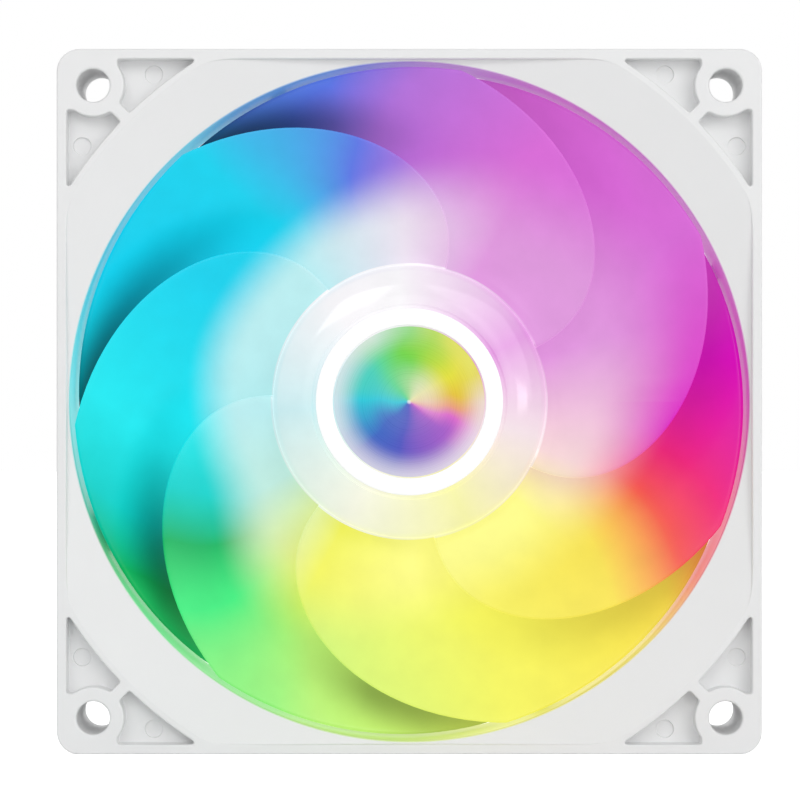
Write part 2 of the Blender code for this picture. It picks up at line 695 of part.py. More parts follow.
# Rotor: seven blades, each a swept sheet that thickens towards the middle of its root
shape = bmesh.new()
weights = []
for index in range(BLADE_COUNT):
    sheet = bmesh.ops.create_grid(shape, x_segments=SPAN_STEPS, y_segments=CHORD_STEPS, size=0.5)
    for vertex in sheet["verts"]:
        span, chord = vertex.co.x + 0.5, vertex.co.y + 0.5
        middle = math.sin(math.pi * min(max(chord, 0), 1)) ** 0.5
        weights.append(middle * (1 - 0.4 * span))
        vertex.co = blade_point(span, chord, index * 360 / BLADE_COUNT)
blades = place("blades", mesh_of("blades", shape), parent=rotor_axis)
thick = blades.vertex_groups.new(name="thick")
for index, weight in enumerate(weights):
    thick.add([index], weight, "REPLACE")
solidify = blades.modifiers.new("Thickness", "SOLIDIFY")
solidify.thickness = BLADE_ROOT_THICKNESS
solidify.offset = 0
solidify.use_even_offset = True
solidify.vertex_group = "thick"
solidify.thickness_vertex_group = BLADE_EDGE_THICKNESS / BLADE_ROOT_THICKNESS
boolean(impeller, blades, "UNION")

# Rotor: the white ring and the foil disc on the hub's front
washer("hub_ring", ring_inner_radius, ring_outer_radius, hub_land + SEAT_GAP, hub_front, HUB_STEPS, gloss_white,
       rotor_axis)
cylinder("hub_disc", ring_inner_radius - SEAT_GAP, hub_land + SEAT_GAP,
         hub_land + SEAT_GAP + HUB_DISC_THICKNESS, HUB_STEPS, material=rainbow_foil, parent=rotor_axis)
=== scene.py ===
import json
import math

import bmesh
import bpy
import numpy as np
from mathutils.geometry import delaunay_2d_cdt
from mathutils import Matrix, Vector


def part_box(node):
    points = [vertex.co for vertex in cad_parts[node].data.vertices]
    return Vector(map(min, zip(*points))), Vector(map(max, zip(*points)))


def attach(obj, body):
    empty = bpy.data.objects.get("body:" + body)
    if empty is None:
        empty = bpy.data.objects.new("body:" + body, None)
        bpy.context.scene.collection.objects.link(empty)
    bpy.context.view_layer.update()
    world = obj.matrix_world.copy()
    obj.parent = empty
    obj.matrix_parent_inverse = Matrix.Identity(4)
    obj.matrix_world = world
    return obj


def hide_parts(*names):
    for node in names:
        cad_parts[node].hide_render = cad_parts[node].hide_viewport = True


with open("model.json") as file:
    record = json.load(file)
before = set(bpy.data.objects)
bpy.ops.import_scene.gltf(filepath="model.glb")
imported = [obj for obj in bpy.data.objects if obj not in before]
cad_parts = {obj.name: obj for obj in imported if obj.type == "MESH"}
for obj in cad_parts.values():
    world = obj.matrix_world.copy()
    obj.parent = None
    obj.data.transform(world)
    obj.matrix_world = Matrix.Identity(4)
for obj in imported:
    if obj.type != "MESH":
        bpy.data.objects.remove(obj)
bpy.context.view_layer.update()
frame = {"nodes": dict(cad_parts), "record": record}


# Frame: one injection moulding in matte white plastic, square outside and round inside. A shallow dish leads
# the air into the duct, and each corner has a screw boss tied to the ring by a rib between two hollows.
frame_low, frame_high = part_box("frame")
half = (frame_high[0] - frame_low[0]) / 2
front, rear = frame_low[1], frame_high[1]
depth = rear - front
side_wall = 0.0013
duct_wall = 0.00165
corner_round = 0.0029
wall_inside = half - side_wall
duct_radius = half - duct_wall
dish_radius = duct_radius + 0.0073
dish_depth = 0.0016
pocket_radius = duct_radius + 0.0081
pocket_depth = 0.003
hole_at = half - 0.00475
hole_radius = 0.00215
boss_radius = 0.00405
rib_half = 0.0008
rear_pocket_radius = duct_radius + 0.0014
rear_pocket_depth = 0.0105
core_step = 0.0003
core_radius = pocket_radius - 0.0012
core_depth = 0.012
core_rim = 0.4
edge_round = 0.00022
foot_round = 0.0001
hole_rim_growth = 1.4
boss_end = 0.0009
pocket_end, rear_pocket_end = 0.0004, 0.0009
mark_at, mark_radius = (0.0335, 0.0429), 0.0012
quarter = np.radians(np.linspace(0, 90, 5))


def counter_clockwise(loop):
    """The outline, turned round if it runs clockwise, which the sign of its area tells."""
    after = np.roll(loop, -1, axis=0)
    area = np.sum(loop[:, 0] * after[:, 1] - after[:, 0] * loop[:, 1])
    return loop if area > 0 else loop[::-1]


def eased(loop, length, spacing):
    """The closed outline at an even spacing, averaged over a bell of that length, which rounds its corners."""
    loop = np.asarray(loop)
    ring = np.vstack([loop, loop[:1]])
    along = np.concatenate([[0], np.cumsum(np.linalg.norm(np.diff(ring, axis=0), axis=1))])
    count = int(along[-1] / spacing)
    at = np.linspace(0, along[-1], count, endpoint=False)
    even = np.column_stack([np.interp(at, along, ring[:, 0]), np.interp(at, along, ring[:, 1])])
    bell = np.exp(-2 * (np.pi * np.fft.fftfreq(count, along[-1] / count) * length) ** 2)
    return counter_clockwise(np.real(np.fft.ifft(np.fft.fft(even, axis=0) * bell[:, None], axis=0)))


def arc(centre, radius, start, end, count=40):
    """Points on a circle from one angle to another, in radians."""
    turn = np.linspace(start, end, count)
    return np.column_stack([centre[0] + radius * np.cos(turn), centre[1] + radius * np.sin(turn)])


def spread(loop, by):
    """The outline moved outwards along its normals, which lie to the right of its run."""
    run = np.roll(loop, -1, axis=0) - np.roll(loop, 1, axis=0)
    run /= np.linalg.norm(run, axis=1)[:, None]
    return loop + by * np.column_stack([run[:, 1], -run[:, 0]])


def carried(loop, profile, level, inward):
    """Rows of the outline, each spread by the profile's first value and sunk by its second from a level."""
    rows = np.stack([spread(loop, offset) for offset, _ in profile])
    sunk = np.broadcast_to(level + inward * np.asarray(profile)[:, 1:2], rows.shape[:2])
    points = np.stack([rows[..., 0], sunk, rows[..., 1]], -1).reshape(-1, 3)
    return points, band(len(profile), len(loop))


def band(rows, count):
    """The quads between neighbouring rows of points that each close in a ring."""
    row, column = np.meshgrid(np.arange(rows - 1), np.arange(count), indexing="ij")
    after = (column + 1) % count
    quads = np.stack([row * count + column, row * count + after, (row + 1) * count + after,
                      (row + 1) * count + column], -1)
    return quads.reshape(-1, 4)


def spanned(loops):
    """The flat area between nested outlines: its points and the triangles of a Delaunay mesh over them."""
    ends = np.cumsum([len(loop) for loop in loops])
    rings = [list(range(end - len(loop), end)) for loop, end in zip(loops, ends)]
    flat, _, faces, *_ = delaunay_2d_cdt(np.vstack(loops).tolist(), [], rings, 2, 1e-9)
    return np.array(flat), np.array(faces)


def filled(loops, level):
    """The area between nested outlines, standing upright at one level."""
    flat, faces = spanned(loops)
    return np.column_stack([flat[:, 0], np.full(len(flat), level), flat[:, 1]]), faces


def joined(name, surfaces, sharp=40, facing_out=False):
    """One mesh object from several surfaces, welded where they meet, and turned to face out unless they do."""
    points, faces, start = [], [], 0
    for vertices, cells in surfaces:
        points.append(vertices)
        faces.extend((cells + start).tolist())
        start += len(vertices)
    mesh = bpy.data.meshes.new(name)
    mesh.from_pydata(np.vstack(points).tolist(), [], faces)
    shape = bmesh.new()
    shape.from_mesh(mesh)
    bmesh.ops.remove_doubles(shape, verts=shape.verts, dist=1e-6)
    if not facing_out:
        bmesh.ops.recalc_face_normals(shape, faces=shape.faces)
    shape.to_mesh(mesh)
    shape.free()
    piece = bpy.data.objects.new(name, mesh)
    bpy.context.scene.collection.objects.link(piece)
    shaded(piece, sharp)
    return piece


def shaded(piece, sharp=40):
    """Smooth shading that breaks at sharp edges, while faces square to the fan's axis stay flat."""
    mesh = piece.data
    mesh.shade_smooth()
    mesh.set_sharp_from_angle(angle=math.radians(sharp))
    facing = np.empty(3 * len(mesh.polygons), np.float32)
    mesh.polygons.foreach_get("normal", facing)
    mesh.polygons.foreach_set("use_smooth", abs(facing[1::3]) < 0.99999)
    weighted = piece.modifiers.new("Even shading", "WEIGHTED_NORMAL")
    weighted.keep_sharp = True


def eight(loop):
    """The outline in each of the eight places of a square's symmetry."""
    flips = [np.array([[a, 0], [0, b]]) for a in (1, -1) for b in (1, -1)]
    return [counter_clockwise(loop @ flip @ swap) for flip in flips for swap in (np.eye(2), np.eye(2)[::-1])]


def hollow(inner, wall, rib, end, outer=None):
    """The outline of one corner hollow: in along the rib, back along the ring to a blunt end, out along the
    wall, and round the boss, or round a second ring where one is given."""
    def on_wall(radius, short):
        return math.asin((wall - short) / radius)

    back = arc((0, 0), inner, math.pi / 4 + math.asin(rib / inner), on_wall(inner, end))
    blunt = np.array([[back[-1, 0], wall]])
    if outer:
        far = arc((0, 0), outer, on_wall(outer, 0), math.pi / 4 + math.asin(rib / outer))
        return np.vstack([back, blunt, far])
    meets_wall = math.pi - math.asin((wall - boss_end - hole_at) / boss_radius)
    meets_rib = math.pi * 1.25 - math.asin(rib / boss_radius)
    round_boss = arc((hole_at, hole_at), boss_radius, meets_wall, meets_rib)
    return np.vstack([back, blunt, [[round_boss[0, 0], wall]], round_boss])


corner_at = half - corner_round
outside = eased(np.vstack([
    arc((corner_at, corner_at), corner_round, 0, 0.5 * math.pi),
    arc((-corner_at, corner_at), corner_round, 0.5 * math.pi, math.pi),
    arc((-corner_at, -corner_at), corner_round, math.pi, 1.5 * math.pi),
    arc((corner_at, -corner_at), corner_round, 1.5 * math.pi, 2 * math.pi),
]), 0.0001, 0.0006)
pockets = eight(eased(hollow(pocket_radius, wall_inside, rib_half, pocket_end), 0.00025, 0.00012))
rear_pockets = eight(eased(hollow(rear_pocket_radius, wall_inside, rib_half, rear_pocket_end), 0.0003, 0.00015))
cores = eight(eased(hollow(rear_pocket_radius + core_step, wall_inside - core_step, rib_half + core_step,
                           rear_pocket_end, core_radius), 0.0003, 0.00015))
screw_holes = [arc((x, z), hole_radius, 0, 2 * math.pi, 73)[:-1] for x in (-hole_at, hole_at)
               for z in (-hole_at, hole_at)]
pin_marks = eight(arc(mark_at, mark_radius, 0, 2 * math.pi, 41)[:-1])

over = list(zip(edge_round * (1 - np.sin(quarter)), edge_round * (1 - np.cos(quarter))))
outer_over = [(-offset, sunk) for offset, sunk in over]
hole_over = [(offset * hole_rim_growth, sunk * hole_rim_growth) for offset, sunk in over]
foot = [(-foot_round * (1 - np.cos(a)), foot_round * (np.sin(a) - 1)) for a in quarter[::2]]


def sunk_to(bottom, rim=1.0):
    """The rounded rim, straight wall and rounded foot of a hollow of that depth."""
    return [(offset * rim, sunk * rim) for offset, sunk in over] + [(offset, bottom + rise) for offset, rise in foot]


def through(rim):
    """A wall from front to rear with the same rounded rim at both ends."""
    return rim + [(offset, depth - sunk) for offset, sunk in rim[::-1]]


surfaces = [carried(outside, through(outer_over), front, 1)]
surfaces += [carried(hole, through(hole_over), front, 1) for hole in screw_holes]
mark_profile = [(0, 0), (-0.00002, 0.00032), (-0.00008, 0.0004)]
for pocket, mark in zip(pockets, pin_marks):
    floor = front + pocket_depth
    surfaces.append(carried(pocket, sunk_to(pocket_depth), front, 1))
    surfaces.append(filled([spread(pocket, foot[-1][0]), mark], floor))
    surfaces.append(carried(mark, mark_profile, floor, 1))
    surfaces.append(filled([spread(mark, mark_profile[-1][0])], floor + mark_profile[-1][1]))
for pocket, core in zip(rear_pockets, cores):
    step = rear - rear_pocket_depth
    surfaces.append(carried(pocket, sunk_to(rear_pocket_depth), rear, -1))
    surfaces.append(filled([spread(pocket, foot[-1][0]), spread(core, edge_round * core_rim)], step))
    surfaces.append(carried(core, sunk_to(core_depth - rear_pocket_depth, core_rim), step, -1))
    surfaces.append(filled([spread(core, foot[-1][0])], rear - core_depth))

turn = np.linspace(0, 2 * np.pi, 540, endpoint=False)
square_edge = wall_inside / np.maximum(abs(np.cos(turn)), abs(np.sin(turn)))
blend_power = 90.0
dish_edge = (dish_radius**-blend_power + square_edge**-blend_power) ** (-1 / blend_power)
lip = 0.00018


def cone(radius):
    """Depth of the dish: level with the front at its rim, deepest at the duct."""
    return np.clip(dish_depth * (dish_radius - radius) / (dish_radius - duct_radius), 0, None)


drop = cone(dish_edge)
rows = [(dish_edge + edge_round * (1 - np.sin(a)), np.minimum(edge_round, drop / 2) * (1 - np.cos(a)))
        for a in quarter]
lip_start = duct_radius + lip
rows += [(dish_edge + (lip_start - dish_edge) * share, cone(dish_edge + (lip_start - dish_edge) * share))
         for share in np.linspace(0, 1, 6)]
rows += [(duct_radius + lip * (1 - np.sin(a)) + 0 * turn, cone(lip_start) + lip * (1 - np.cos(a)) + 0 * turn)
         for a in quarter[1:]]
rows += [(duct_radius + edge_round * (1 - np.cos(a)) + 0 * turn, depth - edge_round * (1 - np.sin(a)) + 0 * turn)
         for a in quarter]
radius, sunk = (np.stack(column) for column in zip(*rows))
surfaces.append((
    np.stack([radius * np.cos(turn), front + sunk, radius * np.sin(turn)], -1).reshape(-1, 3),
    band(len(rows), len(turn)),
))
dish_loop = np.column_stack([radius[0] * np.cos(turn), radius[0] * np.sin(turn)])
duct_loop = np.column_stack([radius[-1] * np.cos(turn), radius[-1] * np.sin(turn)])
hole_rim = hole_over[0][0]
surfaces.append(filled([spread(outside, -edge_round), dish_loop, *[spread(p, edge_round) for p in pockets],
                        *[spread(h, hole_rim) for h in screw_holes]], front))
surfaces.append(filled([spread(outside, -edge_round), duct_loop, *[spread(p, edge_round) for p in rear_pockets],
                        *[spread(h, hole_rim) for h in screw_holes]], rear))
housing = joined("housing", surfaces)

wire_turn = math.radians(203)
outlet_half, outlet_top = 0.00165, 0.00155
outlet_from, outlet_to = 0.043, 0.056
sides = np.array([(outlet_from, -outlet_half), (outlet_to, -outlet_half), (outlet_to, outlet_half),
                  (outlet_from, outlet_half)])
facing = np.array([[math.cos(wire_turn), math.sin(wire_turn)], [-math.sin(wire_turn), math.cos(wire_turn)]])
corners = np.tile(sides @ facing, (2, 1))
levels = np.repeat([rear - outlet_top, rear + outlet_top], 4)
outlet = bpy.data.meshes.new("cable_outlet")
outlet.from_pydata(np.column_stack([corners[:, 0], levels, corners[:, 1]]).tolist(), [],
                   [*band(2, 4).tolist(), (3, 2, 1, 0), (4, 5, 6, 7)])
cut = bmesh.new()
cut.from_mesh(outlet)
bmesh.ops.recalc_face_normals(cut, faces=cut.faces)
cut.to_mesh(outlet)
cut.free()
cutter = bpy.data.objects.new("cable_outlet", outlet)
bpy.context.scene.collection.objects.link(cutter)
housing.modifiers.clear()
notch = housing.modifiers.new("Cable outlet", "BOOLEAN")
notch.solver = "EXACT"
notch.object = cutter
bpy.context.view_layer.update()
notched = bpy.data.meshes.new_from_object(housing.evaluated_get(bpy.context.evaluated_depsgraph_get()))
housing.modifiers.remove(notch)
housing.data = notched
bpy.data.objects.remove(cutter)
shaded(housing)


def feed(tree, socket, value):
    """Sets a socket to a number or a colour, or links it to the socket that brings one."""
    if isinstance(value, (int, float, tuple)):
        socket.default_value = value
    else:
        tree.links.new(value, socket)


def sums(tree, operation, *values):
    """A Math node over numbers or sockets."""
    node = tree.nodes.new("ShaderNodeMath")
    node.operation = operation
    for socket, value in zip(node.inputs, values):
        feed(tree, socket, value)
    return node.outputs[0]


def scaled(tree, colour, by):
    """A colour times a number."""
    node = tree.nodes.new("ShaderNodeVectorMath")
    node.operation = "SCALE"
    feed(tree, node.inputs[0], colour)
    feed(tree, node.inputs["Scale"], by)
    return node.outputs[0]


def noise(tree, place, scale, detail):
    """A noise from 0 to 1 at the places that a socket brings."""
    node = tree.nodes.new("ShaderNodeTexNoise")
    for socket, value in (("Vector", place), ("Scale", scale), ("Detail", detail)):
        feed(tree, node.inputs[socket], value)
    return node.outputs["Fac"]


def fine_grain_group():
    """Moulding grain for any piece: a mottled colour, an uneven roughness and a grained normal."""
    group = bpy.data.node_groups.new("fine_grain", "ShaderNodeTree")
    for name, kind, value in (("Color", "NodeSocketColor", (0.8, 0.8, 0.8, 1)), ("Mottle", "NodeSocketFloat", 0.04),
                              ("Roughness", "NodeSocketFloat", 0.4), ("Grain Scale", "NodeSocketFloat", 4000),
                              ("Grain Depth", "NodeSocketFloat", 0.1)):
        group.interface.new_socket(name, in_out="INPUT", socket_type=kind).default_value = value
    for name, kind in (("Color", "NodeSocketColor"), ("Roughness", "NodeSocketFloat"), ("Normal", "NodeSocketVector")):
        group.interface.new_socket(name, in_out="OUTPUT", socket_type=kind)
    given, result = group.nodes.new("NodeGroupInput"), group.nodes.new("NodeGroupOutput")
    place = group.nodes.new("ShaderNodeTexCoord").outputs["Object"]
    cloud = noise(group, place, 120, 3)
    grain = noise(group, place, given.outputs["Grain Scale"], 2)
    mottle = given.outputs["Mottle"]
    swing = sums(group, "MULTIPLY_ADD", cloud, mottle, sums(group, "MULTIPLY_ADD", mottle, -0.5, 1))
    rough = sums(group, "MULTIPLY_ADD", grain, 0.12, given.outputs["Roughness"])
    bump = group.nodes.new("ShaderNodeBump")
    bump.inputs["Distance"].default_value = 0.00003
    group.links.new(given.outputs["Grain Depth"], bump.inputs["Strength"])
    group.links.new(grain, bump.inputs["Height"])
    group.links.new(scaled(group, given.outputs["Color"], swing), result.inputs["Color"])
    group.links.new(rough, result.inputs["Roughness"])
    group.links.new(bump.outputs[0], result.inputs["Normal"])
    return group


fine_grain = fine_grain_group()


def grained(name, colour, roughness, metallic=0.0, mottle=0.04, scale=4000, depth=0.1):
    """A Principled material whose colour, roughness and normal pass through the fine grain."""
    made = bpy.data.materials.new(name)
    made.use_nodes = True
    tree = made.node_tree
    shader = tree.nodes["Principled BSDF"]
    shader.inputs["Metallic"].default_value = metallic
    grain = tree.nodes.new("ShaderNodeGroup")
    grain.node_tree = fine_grain
    grain.inputs["Color"].default_value = (*colour, 1)
    for socket, value in (("Mottle", mottle), ("Roughness", roughness), ("Grain Scale", scale), ("Grain Depth", depth)):
        grain.inputs[socket].default_value = value
    for output, socket in (("Color", "Base Color"), ("Roughness", "Roughness"), ("Normal", "Normal")):
        tree.links.new(grain.outputs[output], shader.inputs[socket])
    return made


def linear(red, green, blue):
    """A colour of the screen, 0 to 255, as the light that it stands for."""
    shown = np.array([red, green, blue]) / 255
    return (*np.where(shown <= 0.04045, shown / 12.92, ((shown + 0.055) / 1.055) ** 2.4), 1)


def ramp(tree, stops, grey=False):
    """A colour ramp round the axis: stops of degrees and colour, carried on evenly across the full turn."""
    node = tree.nodes.new("ShaderNodeValToRGB")
    node.color_ramp.interpolation = "LINEAR"
    marks = node.color_ramp.elements
    degrees = np.array([stop[0] for stop in stops])
    shown = np.array([(stop[1], stop[1], stop[1], 1) if grey else linear(*stop[1]) for stop in stops])
    seam = shown[-1] + (shown[0] - shown[-1]) * (360 - degrees[-1]) / (360 + degrees[0] - degrees[-1])
    while len(marks) < len(stops) + 2:
        marks.new(0.5)
    for mark, at, colour in zip(marks, [0, *degrees, 360], [seam, *shown, seam]):
        mark.position = at / 360
        mark.color = colour
    return node


def between(tree, value, low, high):
    """The share of the way from low to high, easing in and out."""
    node = tree.nodes.new("ShaderNodeMapRange")
    node.interpolation_type = "SMOOTHSTEP"
    for socket, given in (("Value", value), ("From Min", low), ("From Max", high)):
        feed(tree, node.inputs[socket], given)
    return node.outputs[0]


def blended(tree, share, first, second):
    """A mix of two colours."""
    node = tree.nodes.new("ShaderNodeMix")
    node.data_type = "RGBA"
    colour_a, colour_b, colour_result = node.inputs[6], node.inputs[7], node.outputs[2]
    for socket, value in ((node.inputs["Factor"], share), (colour_a, first), (colour_b, second)):
        feed(tree, socket, value)
    return colour_result


def polar(tree):
    """Object coordinates as distance from the axis in millimetres and angle in turns, with the coordinates."""
    coordinates = tree.nodes.new("ShaderNodeTexCoord")
    split = tree.nodes.new("ShaderNodeSeparateXYZ")
    tree.links.new(coordinates.outputs["Object"], split.inputs[0])
    x, _, z = split.outputs
    squares = sums(tree, "ADD", sums(tree, "MULTIPLY", x, x), sums(tree, "MULTIPLY", z, z))
    out = sums(tree, "MULTIPLY", sums(tree, "SQRT", squares), 1000)
    turn = sums(tree, "MULTIPLY", sums(tree, "ARCTAN2", z, x), 1 / (2 * math.pi))
    return out, turn, coordinates.outputs["Object"]


def whole(tree, turn):
    """An angle in turns, brought between 0 and 1."""
    return sums(tree, "FRACT", sums(tree, "ADD", turn, 1))


def fan_light_group():
    """The colours that the lit impeller sends to each direction near the rim, by the angle round the axis. They
    swirl with the reach, by an amount that differs round the turn."""
    group = bpy.data.node_groups.new("fan_light", "ShaderNodeTree")
    group.interface.new_socket("Held Back", in_out="INPUT", socket_type="NodeSocketFloat")
    group.interface.new_socket("Color", in_out="OUTPUT", socket_type="NodeSocketColor")
    given, result = group.nodes.new("NodeGroupInput"), group.nodes.new("NodeGroupOutput")
    out, turn, _ = polar(group)
    orchid, lilac, blue, cyan, aqua = (218, 108, 216), (182, 116, 220), (96, 120, 230), (20, 212, 240), (32, 236, 244)
    turquoise, emerald, green, lime = (12, 212, 206), (14, 180, 98), (64, 238, 130), (190, 244, 126)
    yellow, gold, coral = (246, 246, 100), (248, 228, 84), (245, 88, 78)
    crimson, magenta = (241, 40, 124), (220, 12, 194)
    hue = ramp(group, [(24, orchid), (62, orchid), (88, lilac), (101, blue), (124, cyan), (150, cyan), (180, aqua),
                       (198, turquoise), (211, emerald), (224, green), (239, lime), (282, yellow), (316, gold),
                       (331, coral), (340, crimson), (355, magenta)])
    lag = ramp(group, [(14, 0.85), (36, 0.8), (60, 0.55), (104, 0.4), (121, 0.85), (165, 0.5), (190, 0.25),
                       (214, 0.25), (246, 0.95), (272, 0.95), (300, 0.5), (331, 0.4)], grey=True)
    group.links.new(whole(group, turn), lag.inputs[0])
    still_at, most_lag = 35, 0.008
    per_reach = sums(group, "MULTIPLY", sums(group, "SUBTRACT", lag.outputs[0], 0.5), most_lag)
    swirl = sums(group, "MULTIPLY", sums(group, "SUBTRACT", out, still_at), per_reach)
    held = sums(group, "ADD", given.outputs["Held Back"], swirl)
    group.links.new(whole(group, sums(group, "SUBTRACT", turn, held)), hue.inputs[0])
    group.links.new(hue.outputs[0], result.inputs["Color"])
    return group


fan_light = fan_light_group()
plain_white = (0.825, 0.828, 0.831)
moulded = {"roughness": 0.42, "mottle": 0.03, "scale": 5000, "depth": 0.12}
# Painted light on the duct: the rotor's coloured light, by the angle round the axis, is painted into the white's base
# colour and made to glow on the duct wall and its lip, fading out over the third of a millimetre past the duct's
# radius.
duct_plastic_painted_spill = grained("duct_white_plastic_painted_led_spill", plain_white, **moulded)
tree = duct_plastic_painted_spill.node_tree
shader = tree.nodes["Principled BSDF"]
out, _, _ = polar(tree)
colours = tree.nodes.new("ShaderNodeGroup")
colours.node_tree = fan_light
wall_at, wall_fade = duct_radius * 1000 + 0.02, duct_radius * 1000 + 0.3
# Painted spill mask: full on the duct wall, none further out.
on_wall = sums(tree, "SUBTRACT", 1, between(tree, out, wall_at, wall_fade))
painted_spill_share, painted_spill_level = 0.85, 0.6
grained_white = shader.inputs["Base Color"].links[0].from_socket
painted_spill = scaled(tree, colours.outputs["Color"], painted_spill_level)
painted_spill_base = blended(tree, sums(tree, "MULTIPLY", on_wall, painted_spill_share), grained_white, painted_spill)
tree.links.new(painted_spill_base, shader.inputs["Base Color"])
tree.links.new(scaled(tree, colours.outputs["Color"], on_wall), shader.inputs["Emission Color"])
shader.inputs["Emission Strength"].default_value = 0.25
housing.data.materials.append(duct_plastic_painted_spill)
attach(housing, "frame")


# Struts and motor base: part of the same moulding, behind the blades. Four flat bars hold the round cup of the
# motor, and the widest has an open channel on its rear side with three tabs across it.
white_plastic = grained("white_plastic", plain_white, **moulded)
strut_turns = np.radians([293, 23, 113])
base_radius = 0.01825
strut_start, strut_end = base_radius - 0.0006, duct_radius + 0.0007
strut_low, strut_high = 0.0004, 0.0026
strut_width, wire_strut_half = 0.0022, 0.0028
slot_half, slot_floor = 0.0017, 0.0016
tab_width, tab_half_length, tab_low, tab_high = 0.0045, 0.0006, 0.0008, 0.0015
cup_floor, cup_wall_low, cup_wall_high, cup_rear = 0.0014, 0.0018, 0.00345, 0.0002
cup_radius, cup_corner, tube_radius, tube_high = 0.01715, 0.0161, 0.0051, 0.0031
bore_radius, cap_radius, cap_seat = 0.0039, 0.0047, 0.0008
panel_outer, panel_inner, panel_sunk = 0.0168, 0.0064, 0.00036


def bar(section, start, end, turn):
    """A closed outline of (sideways, height) points carried along a straight line out from the axis."""
    def along(outline, reach):
        sideways, height = outline.T
        x = reach * math.cos(turn) - sideways * math.sin(turn)
        z = reach * math.sin(turn) + sideways * math.cos(turn)
        return np.column_stack([x, rear - height, z])

    flat, cap = spanned([section])
    sides = np.vstack([along(section, start), along(section, end)])
    return [(sides, band(2, len(section))), (along(flat, start), cap), (along(flat, end), cap)]


def block_section(width, low, high, ease):
    """A rectangle with eased corners."""
    return eased([(-width / 2, low), (width / 2, low), (width / 2, high), (-width / 2, high)], ease, 0.00008)


surfaces = []
for angle in strut_turns:
    surfaces.extend(bar(block_section(strut_width, strut_low, strut_high, 0.0002), strut_start, strut_end, angle))
channel = eased([(-wire_strut_half, strut_low), (-slot_half, strut_low), (-slot_half, slot_floor),
                 (slot_half, slot_floor), (slot_half, strut_low), (wire_strut_half, strut_low),
                 (wire_strut_half, strut_high), (-wire_strut_half, strut_high)], 0.00012, 0.0001)
surfaces.extend(bar(channel, strut_start, strut_end, wire_turn))
tab = block_section(tab_width, tab_low, tab_high, 0.0001)
for share in (0.25, 0.5, 0.75):
    reach = base_radius + (duct_radius - base_radius) * share
    surfaces.extend(bar(tab, reach - tab_half_length, reach + tab_half_length, wire_turn))


def turned(profile, count=180):
    """(radius, height) points carried round the axis; the first and last may lie on it."""
    angle = np.linspace(0, 2 * np.pi, count, endpoint=False)
    radius, height = np.asarray(profile).T
    x, z = radius[:, None] * np.cos(angle), radius[:, None] * np.sin(angle)
    y = np.broadcast_to((rear - height)[:, None], x.shape)
    return np.stack([x, y, z], -1).reshape(-1, 3), band(len(radius), count)


def eased_profile(corners, ease=0.00012, spacing=0.00016):
    """A closed (radius, height) outline with eased corners, its first point repeated at the end."""
    loop = eased(corners, ease, spacing)
    return np.vstack([loop, loop[:1]])


surfaces.append(turned(eased_profile([
    (bore_radius, tube_high), (tube_radius, tube_high), (tube_radius, cup_floor), (cup_corner, cup_floor),
    (cup_corner, cup_wall_low), (cup_radius, cup_wall_low), (cup_radius, cup_wall_high), (base_radius, cup_wall_high),
    (base_radius, cup_rear), (panel_outer + 0.0001, cup_rear), (panel_outer, panel_sunk), (panel_inner, panel_sunk),
    (panel_inner - 0.0001, cup_rear), (cap_radius, cup_rear), (cap_radius, cap_seat), (bore_radius, cap_seat),
])))
spider = joined("spider", surfaces)
spider.data.materials.append(white_plastic)
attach(spider, "frame")
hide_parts("frame")


# Bearing, stator and circuit board: bought-in metal and moulded pieces that show only through the wire slot and
# past the rotor's edge, so the solids keep their shape and get the finish of the real material.
finishes = {
    "steel": grained("bare_steel", (0.52, 0.53, 0.55), 0.28, 1.0, 0.1, 9000, 0.05),
    "brass": grained("turned_brass", (0.70, 0.52, 0.25), 0.25, 1.0, 0.1, 9000, 0.05),
    "bronze": grained("sintered_bronze", (0.42, 0.27, 0.15), 0.5, 1.0, 0.25, 12000, 0.3),
    "ferrite": grained("ferrite_magnet", (0.05, 0.05, 0.055), 0.6, 0.0, 0.2, 9000, 0.2),
    "copper": grained("enamelled_copper", (0.60, 0.24, 0.10), 0.25, 0.9, 0.2, 6000, 0.2),
    "nylon": grained("pale_nylon", (0.74, 0.74, 0.70), 0.45, 0.0, 0.05, 5000, 0.1),
    "black_plastic": grained("black_epoxy", (0.03, 0.03, 0.032), 0.4, 0.0, 0.2, 9000, 0.15),
    "board_green": grained("solder_mask", (0.02, 0.17, 0.07), 0.25, 0.0, 0.15, 3000, 0.1),
    "ceramic": grained("ceramic_body", (0.48, 0.38, 0.26), 0.45, 0.0, 0.1, 8000, 0.1),
    "led_white": grained("led_resin", (0.88, 0.88, 0.80), 0.2, 0.0, 0.05, 6000, 0.05),
    "white_plastic": white_plastic,
}
for part in frame["record"]["subparts"]:
    finish = finishes.get(part["material_slot"])
    if finish and part["node"] != "frame":
        solid = frame["nodes"][part["node"]]
        solid.data.materials.clear()
        solid.data.materials.append(finish)


# Impeller: hub and seven swept blades in one frosted, translucent moulding, glued over the motor's steel cup.
# Light from the hub runs out along the blades, pale at the root and coloured by direction towards the rim.
hub_radius = 0.01795
rotor_rear = 0.004425
hub_land = 0.01335
shoulder_foot = 0.01115
ring_radius = 0.01225
blade_count = 7
blade_root, blade_tip = hub_radius - 0.0006, duct_radius - 0.00045
tip_turn, sweep = 184.0, 58.0
tip_open, tip_open_from = 0.03, 0.65
lead_root, lead_tip, lead_level_from = 0.01038, 0.0128, 0.6
trail_root, trail_tip = 0.005545, 0.0044
even_fall, late_fall = 0.6, 0.4
root_thick, tip_thick, most_thick = 0.0014, 0.0008, 0.0024
fillet_thick, fillet_reach = 0.0012, 0.0006
thin_share, bluntness = 0.72, 0.35
hub_wall, hub_edge = 0.0012, 0.0002
shoulder_rise, land_step = 0.0004, 0.0001
collar_outer, collar_inner, collar_low, collar_high = 0.01535, 0.01455, 0.00695, 0.01055
